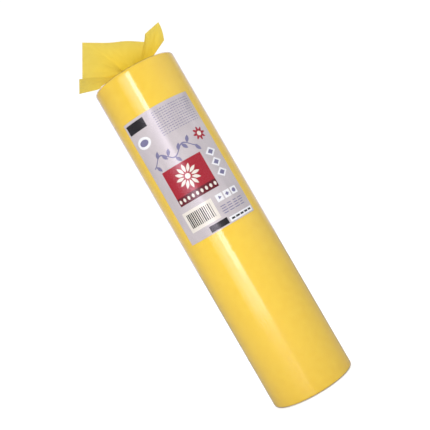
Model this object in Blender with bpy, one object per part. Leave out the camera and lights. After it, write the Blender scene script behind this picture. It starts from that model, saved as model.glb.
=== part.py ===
"""A roll of table-cover cloth, wound on a cardboard core and wrapped in clear shrink film.

A paper label lies under the film, and a loose sample of the same cloth is tucked into the mouth of
the core. The roll stands on one end. Units are metres, +Z is up, and the origin is on the roll's
axis at the level that it stands on. The label faces -Y.
"""

import math

import bmesh
import bpy
from mathutils import Vector
from mathutils.geometry import intersect_point_line

# Room left between two pieces that touch
SEAT = 0.0003

# Cardboard core: a body ply with a narrow liner strip wound in a helix inside it
BORE_RADIUS = 0.0195
LINER_THICKNESS = 0.0008
LINER_LEAD = 0.072
LINER_SEAM = 0.0006
LINER_TIP = 0.002
BODY_WALL = 0.0014
CORE_RECESS = 0.0010

# Cloth, wound edge to edge in one unbroken spiral
CLOTH_WIDTH = 0.400
CLOTH_TURNS = 24
CLOTH_THICKNESS = 0.00062
TURN_GAP = 0.00046
FREE_END_ANGLE = math.radians(90.0)

# Paper label, laid on the outer turn
LABEL_LENGTH = 0.1485
LABEL_WIDTH = 0.0875
LABEL_THICKNESS = 0.00025
LABEL_DROP = 0.0497
LABEL_ANGLE = math.radians(-87.9)

# Clear film, drawn over both rims and open in the middle of each end
FILM_THICKNESS = 0.0003
FILM_CORNER = 0.0036
FILM_OPENING_RADIUS = 0.0285
FILM_OPENING_PUCKER = 0.0009
FILM_OPENING_PUCKERS = 11
FILM_LABEL_EDGE = 0.0005
FILM_LABEL_EASE = 0.0040
LAP_EASE = math.radians(9.0)

# Sample of cloth: a pleated tail in the bore, and a free edge that fans out over the end
SAMPLE_THICKNESS = 0.0005
TAIL_DEPTH = 0.050
TAIL_SIDE_SHARE = 0.45
TAIL_WAVES = 3
TAIL_PLEAT = 0.0085
TAIL_TAPER = 0.85
TAIL_DIRECTION = math.radians(36.0)
MOUTH_HEIGHT = 0.0008

# The fan's key ribs, from the front flap round to the rear wing: the rib's end on the free edge,
# measured from the middle of the roll's upper end, how far along the rib its shoulder lies, the
# shoulder's height, the depth of the ripples that follow, and the number of ribs to the next
FAN = (
    ((-0.0590, -0.050, 0.0009), 0.50, 0.0010, 0.0000, 5),
    ((-0.0539, -0.024, 0.0201), 0.45, 0.0105, 0.0000, 2),
    ((-0.0512, -0.021, 0.0190), 0.40, 0.0105, 0.0000, 8),
    ((-0.0313, -0.017, 0.0549), 0.40, 0.0230, 0.0000, 5),
    ((-0.0061, -0.016, 0.0401), 0.40, 0.0185, 0.0000, 4),
    ((0.0117, -0.014, 0.0331), 0.40, 0.0160, 0.0000, 4),
    ((0.0282, -0.011, 0.0228), 0.50, 0.0125, 0.0000, 3),
    ((0.0336, -0.009, 0.0306), 0.72, 0.0125, 0.0002, 6),
    ((0.0546, -0.006, 0.0352), 0.65, 0.0130, 0.0000, 2),
    ((0.0543, -0.005, 0.0257), 0.55, 0.0110, 0.0000, 3),
    ((0.0483, -0.005, 0.0147), 0.45, 0.0080, 0.0000, 0),
)
RIPPLES = 2.5
TAIL_LEVELS = (1.0, 0.66, 0.33)
FAN_LEVELS = 9

# Facets
TURN = 2.0 * math.pi
CORE_SIDES = 48
STEPS_PER_TURN = 24
LABEL_STEPS = 20
FILM_STEP = math.radians(6.0)
LAP_STEPS = 3
CORNER_STEPS = 4
SMOOTH_ANGLE = math.radians(35.0)

# Sizes that follow from those above
FLAT_SHARE = math.cos(math.pi / STEPS_PER_TURN)
LINER_OUTER_RADIUS = BORE_RADIUS + LINER_THICKNESS
BODY_INNER_RADIUS = LINER_OUTER_RADIUS + SEAT
CORE_OUTER_RADIUS = BODY_INNER_RADIUS + BODY_WALL
CLOTH_INNER_RADIUS = (CORE_OUTER_RADIUS + SEAT) / FLAT_SHARE
CLOTH_PITCH = CLOTH_THICKNESS + TURN_GAP
CLOTH_OUTER_RADIUS = CLOTH_INNER_RADIUS + CLOTH_THICKNESS + CLOTH_TURNS * CLOTH_PITCH
CLOTH_FOOT = FILM_THICKNESS + SEAT
CLOTH_TOP = CLOTH_FOOT + CLOTH_WIDTH
CLOTH_EDGE_ROUND = FILM_CORNER - FILM_THICKNESS - SEAT
CORE_FOOT = CLOTH_FOOT + CORE_RECESS
CORE_TOP = CLOTH_TOP - CORE_RECESS
ROLL_HEIGHT = CLOTH_TOP + SEAT + FILM_THICKNESS
LABEL_HALF_ANGLE = 0.5 * LABEL_WIDTH / CLOTH_OUTER_RADIUS
LABEL_TOP = ROLL_HEIGHT - LABEL_DROP
LABEL_FOOT = LABEL_TOP - LABEL_LENGTH
TAIL_RADIUS = BORE_RADIUS * FLAT_SHARE - SEAT - 0.5 * SAMPLE_THICKNESS


def at(radius, angle, height):
    return Vector((radius * math.cos(angle), radius * math.sin(angle), height))


def ease(share):
    share = min(max(share, 0.0), 1.0)
    return share * share * (3.0 - 2.0 * share)


def spread(start, end, steps):
    return [start + (end - start) * i / steps for i in range(steps + 1)]


def material(name, colour, roughness, transmission=0.0):
    made = bpy.data.materials.new(name)
    made.use_nodes = True
    shader = made.node_tree.nodes["Principled BSDF"]
    shader.inputs["Base Color"].default_value = (*colour, 1.0)
    shader.inputs["Roughness"].default_value = roughness
    shader.inputs["Metallic"].default_value = 0.0
    shader.inputs["Transmission Weight"].default_value = transmission
    return made


def loft(name, sections, finish, closed=False):
    """Joins a row of equal loops of points into one closed body.

    A row that isn't closed on itself is capped. A loop's first half is one face of the piece, and
    its second half comes back along the other face.
    """
    size = len(sections[0])
    shape = bmesh.new()
    loops = [[shape.verts.new(point) for point in section] for section in sections]
    pairs = list(zip(loops, loops[1:]))
    if closed:
        pairs.append((loops[-1], loops[0]))
    for here, there in pairs:
        for i in range(size):
            j = (i + 1) % size
            shape.faces.new((here[i], here[j], there[j], there[i]))
    if not closed:
        for loop in (loops[0], loops[-1]):
            for i in range(size // 2 - 1):
                shape.faces.new((loop[i], loop[i + 1], loop[size - 2 - i], loop[size - 1 - i]))
    bmesh.ops.recalc_face_normals(shape, faces=shape.faces)
    mesh = bpy.data.meshes.new(name)
    shape.to_mesh(mesh)
    shape.free()
    mesh.shade_smooth()
    mesh.set_sharp_from_angle(angle=SMOOTH_ANGLE)
    mesh.materials.append(finish)
    piece = bpy.data.objects.new(name, mesh)
    bpy.context.scene.collection.objects.link(piece)
    return piece


def core_body(finish):
    corners = (
        (BODY_INNER_RADIUS, CORE_TOP),
        (CORE_OUTER_RADIUS, CORE_TOP),
        (CORE_OUTER_RADIUS, CORE_FOOT),
        (BODY_INNER_RADIUS, CORE_FOOT),
    )
    angles = [TURN * i / CORE_SIDES for i in range(CORE_SIDES)]
    sections = [[at(radius, angle, z) for radius, z in corners] for angle in angles]
    return loft("core_body", sections, finish, closed=True)


def core_liner(finish):
    """A strip wound in a helix, edge to edge, and cut off square with the core's ends."""
    strip = LINER_LEAD - LINER_SEAM
    first = TURN * (LINER_TIP - strip) / LINER_LEAD
    last = TURN * (CORE_TOP - CORE_FOOT - LINER_TIP) / LINER_LEAD
    steps = math.ceil((last - first) / TURN * STEPS_PER_TURN)
    sections = []
    for angle in spread(first, last, steps):
        edge = CORE_FOOT + LINER_LEAD * angle / TURN
        low = max(edge, CORE_FOOT)
        high = min(edge + strip, CORE_TOP)
        sections.append(
            [
                at(BORE_RADIUS, angle, low),
                at(BORE_RADIUS, angle, high),
                at(LINER_OUTER_RADIUS, angle, high),
                at(LINER_OUTER_RADIUS, angle, low),
            ]
        )
    return loft("core_liner", sections, finish)


def wound_radius(angle):
    """The outer face of the wound cloth at an angle. It eases down a turn past the free end."""
    past_end = (angle - FREE_END_ANGLE) % TURN
    step = CLOTH_PITCH * (past_end / TURN - 1.0)
    return CLOTH_OUTER_RADIUS + step + CLOTH_PITCH * ease(1.0 - past_end / LAP_EASE)


def edge_inset(angle, radius):
    """How far the film draws in the edges of the outer turns, which rounds the rims."""
    depth = wound_radius(angle) - radius
    run = CLOTH_EDGE_ROUND - min(max(depth, 0.0), CLOTH_EDGE_ROUND)
    return CLOTH_EDGE_ROUND - math.sqrt(CLOTH_EDGE_ROUND**2 - run**2)


def cloth_sections():
    sections = []
    for i in range(CLOTH_TURNS * STEPS_PER_TURN + 1):
        turns = i / STEPS_PER_TURN
        angle = FREE_END_ANGLE + TURN * turns
        inner = CLOTH_INNER_RADIUS + CLOTH_PITCH * turns
        outer = inner + CLOTH_THICKNESS
        inner_inset = edge_inset(angle, inner)
        outer_inset = edge_inset(angle, outer)
        sections.append(
            [
                at(inner, angle, CLOTH_FOOT + inner_inset),
                at(inner, angle, CLOTH_TOP - inner_inset),
                at(outer, angle, CLOTH_TOP - outer_inset),
                at(outer, angle, CLOTH_FOOT + outer_inset),
            ]
        )
    return sections


def least_turn_gap(sections):
    """The least gap between a turn's outer face and the inner face of the turn over it."""
    outer = [Vector((*section[3].xy, 0.0)) for section in sections]
    inner = [Vector((*section[0].xy, 0.0)) for section in sections]
    least = math.inf
    for i in range(len(sections) - STEPS_PER_TURN):
        over = range(i + STEPS_PER_TURN - 1, min(i + STEPS_PER_TURN + 1, len(sections) - 1))
        for j in over:
            _, share = intersect_point_line(outer[i], inner[j], inner[j + 1])
            near = inner[j].lerp(inner[j + 1], min(max(share, 0.0), 1.0))
            least = min(least, (outer[i] - near).length)
    return least


def label(finish):
    angles = spread(LABEL_ANGLE - LABEL_HALF_ANGLE, LABEL_ANGLE + LABEL_HALF_ANGLE, LABEL_STEPS)
    sections = []
    for angle in angles:
        inner = wound_radius(angle) + SEAT
        outer = inner + LABEL_THICKNESS
        sections.append(
            [
                at(inner, angle, LABEL_FOOT),
                at(inner, angle, LABEL_TOP),
                at(outer, angle, LABEL_TOP),
                at(outer, angle, LABEL_FOOT),
            ]
        )
    return loft("paper_label", sections, finish)


def film_angles():
    """Stations round the film, close together over the label and at the cloth's free end."""
    over_label = LABEL_HALF_ANGLE + FILM_LABEL_EDGE / CLOTH_OUTER_RADIUS
    beside_label = over_label + FILM_LABEL_EASE / CLOTH_OUTER_RADIUS
    lap_end = FREE_END_ANGLE + LAP_EASE
    start = LABEL_ANGLE - over_label
    angles = spread(start, LABEL_ANGLE + over_label, LABEL_STEPS)
    for first, last in (
        (LABEL_ANGLE + beside_label, FREE_END_ANGLE),
        (lap_end, LABEL_ANGLE - beside_label + TURN),
    ):
        angles += spread(first, last, math.ceil((last - first) / FILM_STEP))
    angles += spread(FREE_END_ANGLE, lap_end, LAP_STEPS)[1:-1]
    return sorted(angles), over_label


def film_face(angle, lifted, offset):
    """One face of the film's wall at an angle, from the lower opening up to the upper one."""
    seat = wound_radius(angle) + SEAT
    corner = FILM_CORNER - FILM_THICKNESS + offset
    middle = seat + FILM_THICKNESS - FILM_CORNER
    rise = LABEL_THICKNESS + SEAT if lifted else 0.0
    opening = FILM_OPENING_RADIUS + FILM_OPENING_PUCKER * math.sin(FILM_OPENING_PUCKERS * angle)
    bends = spread(0.0, 0.5 * math.pi, CORNER_STEPS)
    points = [(opening, FILM_CORNER - corner)]
    points += [
        (middle + corner * math.sin(bend), FILM_CORNER - corner * math.cos(bend))
        for bend in bends
    ]
    points += [
        (seat + offset, LABEL_FOOT - FILM_LABEL_EDGE - FILM_LABEL_EASE),
        (seat + offset + rise, LABEL_FOOT - FILM_LABEL_EDGE),
        (seat + offset + rise, LABEL_TOP + FILM_LABEL_EDGE),
        (seat + offset, LABEL_TOP + FILM_LABEL_EDGE + FILM_LABEL_EASE),
    ]
    points += [
        (middle + corner * math.cos(bend), ROLL_HEIGHT - FILM_CORNER + corner * math.sin(bend))
        for bend in bends
    ]
    points.append((opening, ROLL_HEIGHT - FILM_CORNER + corner))
    return [at(radius, angle, height) for radius, height in points]


def film_sleeve(finish):
    angles, over_label = film_angles()
    halfway_down = over_label + 0.5 * FILM_LABEL_EASE / CLOTH_OUTER_RADIUS
    sections = []
    for angle in angles:
        lifted = abs(angle - LABEL_ANGLE) < halfway_down
        outside = film_face(angle, lifted, FILM_THICKNESS)
        inside = film_face(angle, lifted, 0.0)
        sections.append(outside + inside[::-1])
    return loft("film_sleeve", sections, finish, closed=True)


def fan_ribs():
    """The end, the shoulder's place and height, and the side ripple of each rib of the fan."""
    ribs = []
    for here, there in zip(FAN, FAN[1:]):
        end, place, height, ripple, steps = here
        next_end, next_place, next_height = there[:3]
        along = Vector(next_end) - Vector(end)
        side = Vector((-along.y, along.x, 0.0)).normalized()
        for i in range(steps):
            share = i / steps
            swing = ripple * math.sin(TURN * RIPPLES * share)
            ribs.append(
                (
                    Vector(end).lerp(Vector(next_end), share) + swing * side,
                    place + (next_place - place) * share,
                    height + (next_height - height) * share,
                )
            )
    end, place, height = FAN[-1][:3]
    ribs.append((Vector(end), place, height))
    return ribs


def sample_rows():
    """Points on the middle of the sample, one row up each rib from the tail to the free edge."""
    ribs = fan_ribs()
    forward = Vector((math.cos(TAIL_DIRECTION), math.sin(TAIL_DIRECTION), 0.0))
    across = Vector((-forward.y, forward.x, 0.0))
    rows = []
    for i, (end, place, height) in enumerate(ribs):
        share = i / (len(ribs) - 1)
        reach = 2.0 * share - 1.0
        pleat = TAIL_PLEAT * math.sin(TURN * TAIL_WAVES * share)
        pleat *= math.sqrt(1.0 - (TAIL_TAPER * reach) ** 2)
        stem = TAIL_RADIUS * reach * forward
        mouth = stem + pleat * across
        mouth.z = MOUTH_HEIGHT
        depth = TAIL_DEPTH * (
            TAIL_SIDE_SHARE + (1.0 - TAIL_SIDE_SHARE) * math.sin(math.pi * share)
        )
        row = [mouth - Vector((0.0, 0.0, depth * level)) for level in TAIL_LEVELS]
        shoulder = stem.lerp(end, place)
        shoulder.z = height
        for up in spread(0.0, 1.0, FAN_LEVELS - 1):
            row.append(mouth.lerp(shoulder, up).lerp(shoulder.lerp(end, up), up))
        rows.append(row)
    return rows


def cloth_sample(finish, carrier):
    rows = sample_rows()
    sections = []
    for i, row in enumerate(rows):
        before = rows[max(i - 1, 0)]
        after = rows[min(i + 1, len(rows) - 1)]
        front = []
        back = []
        for j, point in enumerate(row):
            along = after[j] - before[j]
            up = row[min(j + 1, len(row) - 1)] - row[max(j - 1, 0)]
            out = 0.5 * SAMPLE_THICKNESS * along.cross(up).normalized()
            front.append(point + out)
            back.append(point - out)
        sections.append(front + back[::-1])
    piece = loft("cloth_sample", sections, finish)
    piece.parent = carrier
    return piece


def joint_empty(name, place):
    """An empty on a joint's axis, which carries the piece that the joint moves."""
    empty = bpy.data.objects.new(name, None)
    empty.location = place
    bpy.context.scene.collection.objects.link(empty)
    return empty


for old in list(bpy.data.objects):
    bpy.data.objects.remove(old)

board = material("core_board", (0.46, 0.36, 0.25), 0.85)
liner_paper = material("liner_paper", (0.62, 0.56, 0.47), 0.80)
cloth = material("yellow_cloth", (0.92, 0.62, 0.05), 0.90)
sample_cloth = material("yellow_sample_cloth", (0.84, 0.56, 0.04), 0.90)
label_paper = material("label_paper", (0.62, 0.60, 0.68), 0.45)
clear_film = material("clear_film", (0.98, 0.97, 0.94), 0.12, transmission=0.95)

core_body(board)
core_liner(liner_paper)
winding = cloth_sections()
loft("cloth_web", winding, cloth)
label(label_paper)
film_sleeve(clear_film)
sample_pull = joint_empty("sample_pull", (0.0, 0.0, ROLL_HEIGHT))
cloth_sample(sample_cloth, sample_pull)

print(f"Least gap between turns of the cloth: {1000.0 * least_turn_gap(winding):.3f} mm")
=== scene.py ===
"""The looks of a wrapped roll of table-cover cloth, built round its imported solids."""

import math
import random

import bmesh
import bpy
import numpy as np
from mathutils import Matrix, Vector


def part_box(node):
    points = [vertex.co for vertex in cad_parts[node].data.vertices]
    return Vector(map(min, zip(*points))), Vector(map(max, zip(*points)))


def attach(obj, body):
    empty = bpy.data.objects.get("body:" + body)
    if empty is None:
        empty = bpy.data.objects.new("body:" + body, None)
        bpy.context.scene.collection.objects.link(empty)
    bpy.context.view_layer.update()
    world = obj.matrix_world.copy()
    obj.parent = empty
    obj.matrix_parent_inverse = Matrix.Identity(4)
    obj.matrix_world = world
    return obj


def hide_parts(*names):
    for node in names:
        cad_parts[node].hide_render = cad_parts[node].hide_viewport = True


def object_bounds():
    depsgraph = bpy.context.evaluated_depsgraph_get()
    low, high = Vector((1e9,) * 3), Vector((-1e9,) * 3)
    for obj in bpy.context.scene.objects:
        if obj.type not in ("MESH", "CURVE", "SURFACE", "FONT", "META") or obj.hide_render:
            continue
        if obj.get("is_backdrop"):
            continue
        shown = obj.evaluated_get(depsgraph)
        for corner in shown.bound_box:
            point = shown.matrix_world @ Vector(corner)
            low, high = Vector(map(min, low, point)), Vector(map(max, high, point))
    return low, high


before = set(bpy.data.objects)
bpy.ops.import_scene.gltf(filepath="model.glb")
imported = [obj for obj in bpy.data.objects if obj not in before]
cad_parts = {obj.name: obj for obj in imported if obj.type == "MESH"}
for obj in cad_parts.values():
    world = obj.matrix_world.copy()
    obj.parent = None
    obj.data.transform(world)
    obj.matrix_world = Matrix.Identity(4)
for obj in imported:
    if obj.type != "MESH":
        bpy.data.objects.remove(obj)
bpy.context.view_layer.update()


# The core is a tube of grey board, glued up in a spiral from plies of paper and sawn off square.
# The cloth is wound on it. Its ends lie a little below the edges of the cloth, and the saw has left
# them slightly rough.
core_low, core_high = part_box("core_body")
core_radius = core_high.x
board_wall = 0.0014
board_edge = 0.00025
board_edge_bends = np.array((0, 30, 60, 90))
board_sides = 144
board_plies = 4
board_fibre = 0.0009
ply_contrast = 0.16
board_dark = (0.25, 0.185, 0.12)
board_light = (0.56, 0.45, 0.32)
saw_roughness = 0.00008
turn = 2.0 * math.pi


def add_node(tree, kind, values=None, **settings):
    """Adds a node to a tree. A value that is a socket is linked, and any other value is set."""
    made = tree.nodes.new(kind)
    for name, setting in settings.items():
        setattr(made, name, setting)
    for key, value in (values or {}).items():
        if isinstance(value, bpy.types.NodeSocket):
            tree.links.new(value, made.inputs[key])
        else:
            made.inputs[key].default_value = value
    return made


def calc(tree, operation, *terms):
    """One sum in a tree, as a socket. A term is a number or another socket."""
    return add_node(tree, "ShaderNodeMath", dict(enumerate(terms)), operation=operation).outputs[0]


def new_tree(kind, name, inputs, outputs):
    """A node tree with named sockets, and its inputs and outputs by name."""
    tree = bpy.data.node_groups.new(name, kind)
    for in_out, sockets in (("INPUT", inputs), ("OUTPUT", outputs)):
        for socket_name, holds in sockets.items():
            tree.interface.new_socket(socket_name, in_out=in_out, socket_type=f"NodeSocket{holds}")
    given = tree.nodes.new("NodeGroupInput").outputs
    result = tree.nodes.new("NodeGroupOutput").inputs
    return tree, given, result


def new_finish(name, roughness):
    """A material, its node tree and its main shader."""
    finish = bpy.data.materials.new(name)
    finish.use_nodes = True
    shader = finish.node_tree.nodes["Principled BSDF"]
    shader.inputs["Roughness"].default_value = roughness
    return finish, finish.node_tree, shader


def two_tone(tree, tone, dark, light):
    """A colour between two others, by a tone from 0 to 1."""
    mix = add_node(tree, "ShaderNodeMix", {"Factor": tone}, data_type="RGBA")
    mix.inputs["A"].default_value = (*dark, 1.0)
    mix.inputs["B"].default_value = (*light, 1.0)
    return mix.outputs["Result"]


def noise(tree, place, scale, detail=2.0, roughness=0.5, distortion=0.0):
    """Cloudy noise in a tree, as a socket from 0 to 1."""
    values = {"Vector": place, "Scale": scale}
    values.update({"Detail": detail, "Roughness": roughness, "Distortion": distortion})
    return add_node(tree, "ShaderNodeTexNoise", values).outputs[0]


def raise_bump(tree, shader, height, depth, strength):
    """Roughens a shader's surface by a height from 0 to 1, which stands for a depth in metres."""
    bump = add_node(
        tree, "ShaderNodeBump", {"Height": height, "Distance": depth, "Strength": strength}
    )
    tree.links.new(bump.outputs["Normal"], shader.inputs["Normal"])


def add_piece(name, mesh, finish, crease=35.0):
    """Puts a mesh in the scene, smooth but for edges sharper than a crease in degrees."""
    mesh.name = name
    mesh.shade_smooth()
    mesh.set_sharp_from_angle(angle=math.radians(crease))
    if finish.name not in mesh.materials:
        mesh.materials.append(finish)
    piece = bpy.data.objects.new(name, mesh)
    bpy.context.scene.collection.objects.link(piece)
    return piece


def loft(sections, closed):
    """Joins a row of equal loops of points into one closed mesh.

    A row that isn't closed on itself is capped: a loop's first half is one face of the piece, and its
    second half comes back along the other face.
    """
    points = np.asarray(sections, float)
    count, size = points.shape[:2]
    index = np.arange(count * size).reshape(count, size)
    here = index if closed else index[:-1]
    there = np.roll(index, -1, axis=0) if closed else index[1:]
    quads = np.stack([here, np.roll(here, -1, 1), np.roll(there, -1, 1), there], axis=-1)
    faces = quads.reshape(-1, 4).tolist()
    if not closed:
        for loop in (index[0].tolist(), index[-1].tolist()):
            for i in range(size // 2 - 1):
                faces.append((loop[i], loop[i + 1], loop[size - 2 - i], loop[size - 1 - i]))
    mesh = bpy.data.meshes.new("loft")
    mesh.from_pydata(points.reshape(-1, 3).tolist(), [], faces)
    shape = bmesh.new()
    shape.from_mesh(mesh)
    bmesh.ops.recalc_face_normals(shape, faces=shape.faces)
    shape.to_mesh(mesh)
    shape.free()
    return mesh


def axis_distance(tree, place):
    """How far a place lies from the roll's axis, as a socket."""
    level = add_node(tree, "ShaderNodeVectorMath", {0: place, 1: (1.0, 1.0, 0.0)}, operation="MULTIPLY")
    length = add_node(tree, "ShaderNodeVectorMath", {0: level.outputs[0]}, operation="LENGTH")
    return length.outputs["Value"]


def round_axis(radius, angle, height):
    """Points from radii, angles and heights about the roll's axis."""
    return np.stack(np.broadcast_arrays(radius * np.cos(angle), radius * np.sin(angle), height), -1)


def board_outline(saw):
    """The wall of the tube as radii and heights, with eased edges, at one rough spot of the saw cut."""
    inner = core_radius - board_wall + board_edge
    outer = core_radius - board_edge
    foot = core_low.z + board_edge
    top = core_high.z - board_edge + saw
    corners = ((0, outer, top), (90, inner, top), (180, inner, foot), (270, outer, foot))
    outline = []
    for start, radius, height in corners:
        for bend in np.radians(start + board_edge_bends):
            outline.append((radius + board_edge * math.cos(bend), height + board_edge * math.sin(bend)))
    return np.array(outline)


saw_marks = random.Random(3)
tube_loops = []
for side in range(board_sides):
    outline = board_outline(-saw_roughness * saw_marks.random())
    tube_loops.append(round_axis(outline[:, 0], turn * side / board_sides, outline[:, 1]))

blotch_spread = 0.35
blotch_share = 0.6
strand_share = 0.6
paper_tone_shift = -0.1
paper_fibre, given, result = new_tree(
    "ShaderNodeTree",
    "paper_fibre",
    {"Place": "Vector", "Coarseness": "Float"},
    {"Tone": "Float", "Height": "Float"},
)
blotch_scale = calc(paper_fibre, "DIVIDE", blotch_spread, given["Coarseness"])
blotch = noise(paper_fibre, given["Place"], blotch_scale)
strand_scale = calc(paper_fibre, "DIVIDE", 1.0, given["Coarseness"])
strand = noise(paper_fibre, given["Place"], strand_scale, detail=6.0, roughness=0.65)
flecks = calc(paper_fibre, "MULTIPLY_ADD", strand, strand_share, paper_tone_shift)
paper_tone = calc(paper_fibre, "MULTIPLY_ADD", blotch, blotch_share, flecks)
paper_fibre.links.new(paper_tone, result["Tone"])
paper_fibre.links.new(strand, result["Height"])


def paper_grain(tree, coarseness):
    """The fibre of board, paper or ink in a material's tree: where it is, its tone and its height."""
    place = add_node(tree, "ShaderNodeTexCoord").outputs["Object"]
    values = {"Place": place, "Coarseness": coarseness}
    fibre = add_node(tree, "ShaderNodeGroup", values, node_tree=paper_fibre)
    return place, fibre.outputs["Tone"], fibre.outputs["Height"]


core_board, tree, shader = new_finish("core_board", roughness=0.88)
place, fibre_tone, fibre_height = paper_grain(tree, board_fibre)
plies = calc(tree, "MULTIPLY", axis_distance(tree, place), turn * board_plies / board_wall)
board_tone = calc(tree, "MULTIPLY_ADD", calc(tree, "SINE", plies), ply_contrast, fibre_tone)
tree.links.new(two_tone(tree, board_tone, board_dark, board_light), shader.inputs["Base Color"])
raise_bump(tree, shader, fibre_height, depth=0.0002, strength=0.5)

core_tube = add_piece("core_tube", loft(tube_loops, closed=True), core_board)
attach(core_tube, "roll")
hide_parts("core_body")


# The liner is a strip of smoother paper on the inside of the tube, wound in a helix edge to edge.
# The edges don't quite meet, which leaves a thin open seam up the bore.
liner_thickness = 0.0010
liner_play = 0.00006
liner_lead = 0.072
liner_seam = 0.0006
liner_tip = 0.002
liner_steps_per_turn = 96
liner_fibre = 0.0016
liner_dark = (0.47, 0.41, 0.33)
liner_light = (0.69, 0.63, 0.54)

liner_outer = core_radius - board_wall - liner_play
bore_radius = liner_outer - liner_thickness
liner_width = liner_lead - liner_seam
liner_start = turn * (liner_tip - liner_width) / liner_lead
liner_end = turn * (core_high.z - core_low.z - liner_tip) / liner_lead
liner_steps = math.ceil((liner_end - liner_start) / turn * liner_steps_per_turn)
liner_loops = []
for angle in np.linspace(liner_start, liner_end, liner_steps + 1):
    edge = core_low.z + liner_lead * angle / turn
    low = max(edge, core_low.z)
    high = min(edge + liner_width, core_high.z)
    radii = np.array((bore_radius, bore_radius, liner_outer, liner_outer))
    liner_loops.append(round_axis(radii, angle, np.array((low, high, high, low))))

liner_paper, tree, shader = new_finish("liner_paper", roughness=0.72)
_, fibre_tone, fibre_height = paper_grain(tree, liner_fibre)
tree.links.new(two_tone(tree, fibre_tone, liner_dark, liner_light), shader.inputs["Base Color"])
raise_bump(tree, shader, fibre_height, depth=0.0001, strength=0.35)

liner_strip = add_piece("liner_strip", loft(liner_loops, closed=False), liner_paper)
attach(liner_strip, "roll")
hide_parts("core_liner")


# The cloth is one long web of soft yellow non-woven, wound on the core under light tension. Its edges
# wander a little from turn to turn, and the film draws the outer turns in, which rounds the rims. The
# free end lies at the back.
cloth_low, cloth_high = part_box("cloth_web")
film_low, film_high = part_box("film_sleeve")
film_radius = 0.5 * (film_high.x - film_low.x)
wrap_room = 0.00030
cloth_width = cloth_high.z - cloth_low.z
cloth_thickness = 0.00021
core_play = 0.0002
cloth_inner = core_radius + core_play
cloth_outer = film_radius - wrap_room
cloth_turns = 107
free_end_angle = math.radians(90.0)
rim_round = 0.0031
edge_wander = 0.00030
wander_changes = 1400.0
wander_between_ends = 7.0
winding_points = 80
bond_pitch = 0.0018
cloth_dark = (0.89, 0.57, 0.050)
cloth_light = (0.97, 0.70, 0.078)


def run_tree(tree, values, flat=None):
    """Runs a geometry tree, with its named values, and gives back the result as a plain mesh."""
    holder = bpy.data.objects.new("holder", flat or bpy.data.meshes.new("empty"))
    bpy.context.scene.collection.objects.link(holder)
    modifier = holder.modifiers.new("tree", "NODES")
    modifier.node_group = tree
    for socket in tree.interface.items_tree:
        if socket.in_out == "INPUT" and socket.name in values:
            modifier[socket.identifier] = values[socket.name]
    state = bpy.context.evaluated_depsgraph_get()
    mesh = bpy.data.meshes.new_from_object(
        holder.evaluated_get(state), preserve_all_data_layers=True, depsgraph=state
    )
    bpy.data.objects.remove(holder)
    return mesh


def join_axes(tree, x=0.0, y=0.0, z=0.0):
    """A place, a size or a turn from its three parts, as a socket."""
    return add_node(tree, "ShaderNodeCombineXYZ", {0: x, 1: y, 2: z}).outputs[0]


def end_tree(tree, geometry, finish, result):
    """Ends a geometry tree: its instances are made real and given their material."""
    solid = add_node(tree, "GeometryNodeRealizeInstances", {"Geometry": geometry})
    finished = add_node(tree, "GeometryNodeSetMaterial", {"Geometry": solid.outputs[0], "Material": finish})
    tree.links.new(finished.outputs[0], result["Geometry"])


cloud_share = 0.75
hair_share = 0.55
hair_stretch = (1.0, 2.4, 1.0)
cloth_tone_shift = -0.15
bond_depth = 0.55
soft_cloth, given, result = new_tree(
    "ShaderNodeTree",
    "soft_cloth",
    {"Along": "Float", "Across": "Float", "Bond Pitch": "Float"},
    {"Tone": "Float", "Height": "Float"},
)
spot = join_axes(soft_cloth, given["Along"], given["Across"])
cloud = noise(soft_cloth, spot, 120.0, detail=3.0)
hair_place = add_node(
    soft_cloth, "ShaderNodeVectorMath", {0: spot, 1: hair_stretch}, operation="MULTIPLY"
)
hair = noise(soft_cloth, hair_place.outputs[0], 1100.0, detail=5.0, roughness=0.62)
rising = calc(soft_cloth, "ADD", given["Along"], given["Across"])
falling = calc(soft_cloth, "SUBTRACT", given["Along"], given["Across"])
ridges = []
for diagonal in (rising, falling):
    steps = calc(soft_cloth, "DIVIDE", diagonal, given["Bond Pitch"])
    ridges.append(calc(soft_cloth, "SINE", calc(soft_cloth, "MULTIPLY", steps, turn)))
bond = calc(soft_cloth, "MAXIMUM", calc(soft_cloth, "MULTIPLY", *ridges), 0.0)
hair_tone = calc(soft_cloth, "MULTIPLY_ADD", hair, hair_share, cloth_tone_shift)
cloth_tone = calc(soft_cloth, "MULTIPLY_ADD", cloud, cloud_share, hair_tone)
soft_cloth.links.new(cloth_tone, result["Tone"])
cloth_height = calc(soft_cloth, "MULTIPLY_ADD", bond, -bond_depth, hair)
soft_cloth.links.new(cloth_height, result["Height"])


def cloth_finish(name, dark, light):
    """Soft non-woven cloth: cloudy, faintly hairy, and bonded in a fine diagonal lattice of dots."""
    finish, tree, shader = new_finish(name, roughness=0.85)
    along = add_node(tree, "ShaderNodeAttribute", attribute_name="along").outputs["Fac"]
    across = add_node(tree, "ShaderNodeAttribute", attribute_name="across").outputs["Fac"]
    weave = add_node(
        tree,
        "ShaderNodeGroup",
        {"Along": along, "Across": across, "Bond Pitch": bond_pitch},
        node_tree=soft_cloth,
    )
    colour = two_tone(tree, weave.outputs["Tone"], dark, light)
    tree.links.new(colour, shader.inputs["Base Color"])
    shader.inputs["Sheen Weight"].default_value = 0.12
    shader.inputs["Specular IOR Level"].default_value = 0.25
    raise_bump(tree, shader, weave.outputs["Height"], depth=0.00012, strength=0.6)
    return finish, tree, shader, colour


yellow_cloth, *_ = cloth_finish("yellow_cloth", cloth_dark, cloth_light)

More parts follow.
